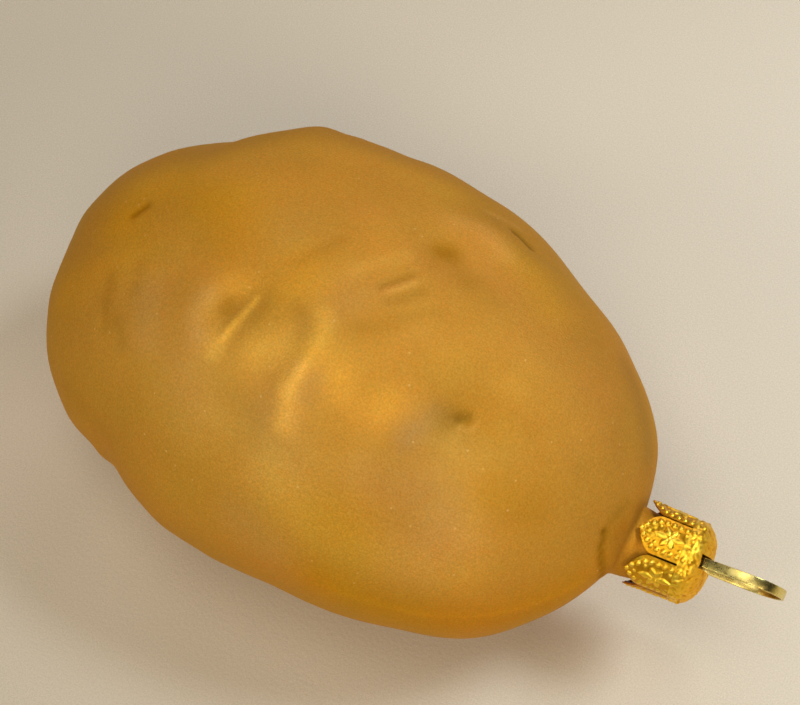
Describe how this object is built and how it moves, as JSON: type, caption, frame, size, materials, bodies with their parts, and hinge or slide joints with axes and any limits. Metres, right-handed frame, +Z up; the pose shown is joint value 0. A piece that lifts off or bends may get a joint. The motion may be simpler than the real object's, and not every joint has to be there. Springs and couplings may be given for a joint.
{
  "type": "glass potato ornament",
  "caption": "Blown glass hanging ornament in the shape of a potato, with a stamped crown cap on its neck and a spring hanger loop.",
  "frame": {"origin": "on the small flat spot that the ornament rests on, straight below the middle of the potato", "axes": "+X along the neck towards the hanger, +Z up from the resting surface"},
  "size_m": [0.117, 0.0676, 0.0562],
  "materials": {
    "lacquered_glass": "satin gold-brown lacquer over silvered glass, opaque",
    "gilt_cap": "bright stamped gilt sheet",
    "hanger_brass": "pale polished strip"
  },
  "bodies": {
    "root": {"glass_potato": "lacquered_glass", "crown_cap": "gilt_cap", "spring_hanger": "hanger_brass"}
  },
  "joints": []
}
